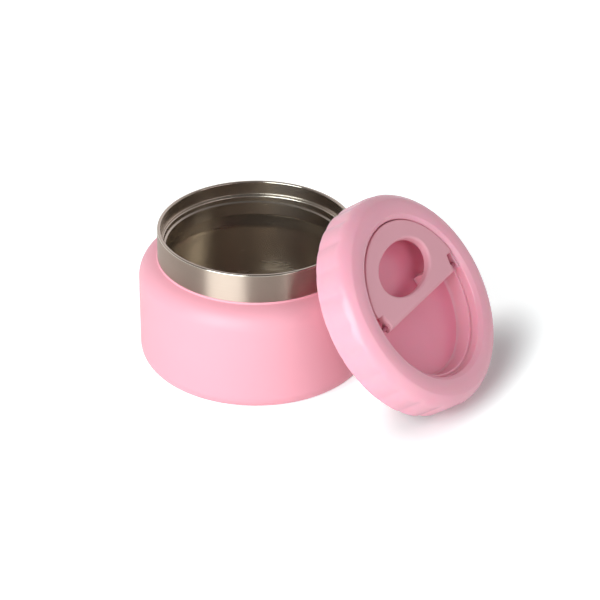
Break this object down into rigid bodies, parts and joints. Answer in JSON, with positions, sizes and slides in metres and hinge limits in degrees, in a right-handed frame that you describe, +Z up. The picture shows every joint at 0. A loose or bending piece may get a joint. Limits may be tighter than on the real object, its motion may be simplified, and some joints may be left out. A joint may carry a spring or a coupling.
{
  "type": "insulated food jar",
  "caption": "Round vacuum food jar, open, with its screw lid leaning on the rim; the lid has a fluted edge and a fold-flat carrying handle.",
  "frame": {"origin": "centre of the jar's base, on the surface it stands on", "axes": "+Z up the jar's axis; the lid leans on the jar's rim on the side of +X and slightly of -Y"},
  "size_m": [0.1511, 0.1257, 0.0821],
  "materials": {
    "body_coat": "satin powder coat, pale pink",
    "steel": "brushed",
    "bead": "fused glass bead",
    "getter": "pressed grey powder",
    "lid": "soft satin, pink",
    "plug": "satin, pink",
    "silicone": "translucent silicone",
    "foam": "rigid foam, not seen",
    "handle": "fine matte texture, dusky pink"
  },
  "bodies": {
    "jar": {"outer_shell": "body_coat", "inner_liner": "steel", "inner_base": "steel", "outer_base": "steel", "seal_bead": "bead", "getter_cup": "steel", "getter_pellet": "getter"},
    "lid": {"lid_cover": "lid", "lid_plug": "plug", "seal_ring": "silicone", "lid_foam": "foam"},
    "handle": {"handle": "handle", "hinge_pin_left": "steel", "hinge_pin_right": "steel"}
  },
  "joints": [
    {"name": "lid_slide", "type": "slide", "parent": "jar", "child": "lid", "axis": [0.6999, -0.3777, 0.6062], "range_m": [0, 0.11]},
    {"name": "handle_hinge", "type": "hinge", "parent": "lid", "child": "handle", "pos_m": [0.06765, -0.03297, 0.04606], "axis": [0.4841, 0.8749, -0.0139], "range_deg": [0, 95]}
  ]
}
